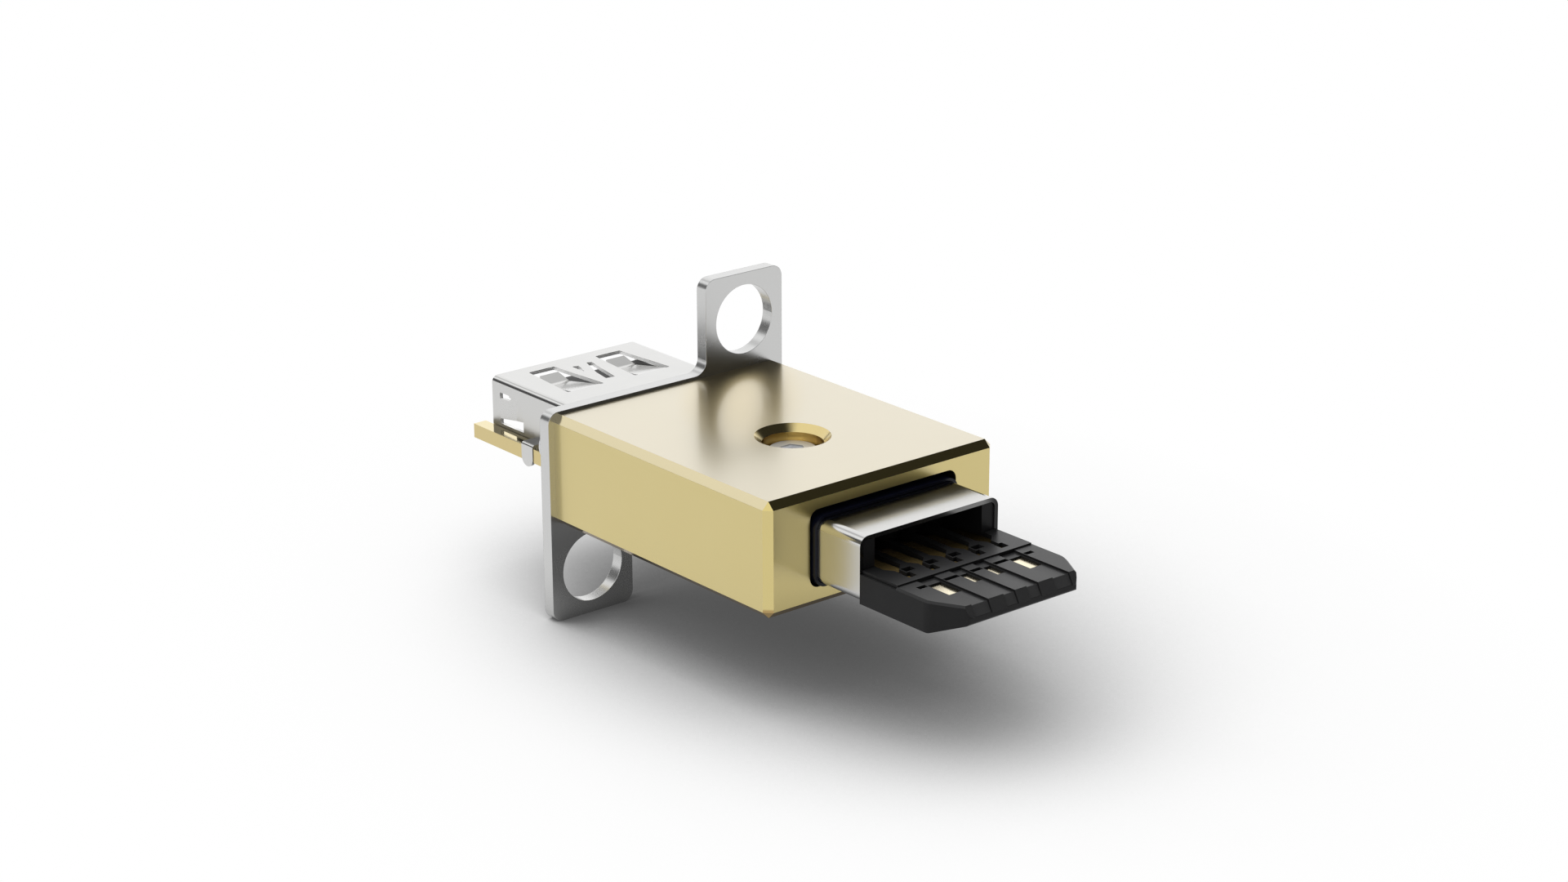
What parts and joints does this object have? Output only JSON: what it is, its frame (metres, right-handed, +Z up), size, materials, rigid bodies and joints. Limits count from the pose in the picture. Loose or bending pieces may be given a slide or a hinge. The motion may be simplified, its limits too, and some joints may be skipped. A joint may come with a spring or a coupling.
{
  "type": "usb type-a socket to plug panel adapter",
  "caption": "Panel adapter: pale gold block with a steel eared plate, a stamped-shell socket at the rear on a forked board, and a shelled plug with a long open nose at the front.",
  "frame": {"origin": "on the plug's axis, in the plate's face that seats on the housing, midway between the ear holes", "axes": "+Z up, -Y along the plug's nose, +Y out of the socket, +X to the right seen from the plug"},
  "size_m": [0.0208, 0.0496, 0.0222],
  "materials": {
    "gold_block": "fine bead-blasted, pale gold anodised",
    "plate_steel": "satin, tumbled",
    "shell_steel": "satin nickel plate",
    "screw_steel": "machined",
    "gold_board": "gold plated all over",
    "navy_sleeve": "smooth insulating film",
    "black_plastic": "moulded, satin",
    "contact_gold": "gold plated, bright"
  },
  "bodies": {
    "root": {"board": "gold_board", "clamp_screw": "screw_steel", "housing": "gold_block", "mounting_plate": "plate_steel", "plate_screw_left": "screw_steel", "plate_screw_right": "screw_steel", "plug_collar": "navy_sleeve", "plug_cover": "black_plastic", "plug_nose": "black_plastic", "plug_pad_1": "contact_gold", "plug_pad_2": "contact_gold", "plug_pad_3": "contact_gold", "plug_pad_4": "contact_gold", "plug_shell": "shell_steel", "plug_spring_1": "contact_gold", "plug_spring_2": "contact_gold", "plug_spring_3": "contact_gold", "plug_spring_4": "contact_gold", "plug_spring_5": "contact_gold", "socket_insulator": "black_plastic", "socket_pad_1": "contact_gold", "socket_pad_2": "contact_gold", "socket_pad_3": "contact_gold", "socket_pad_4": "contact_gold", "socket_pad_5": "contact_gold", "socket_shell": "shell_steel", "socket_spring_1": "contact_gold", "socket_spring_2": "contact_gold", "socket_spring_3": "contact_gold", "socket_spring_4": "contact_gold"}
  },
  "joints": []
}
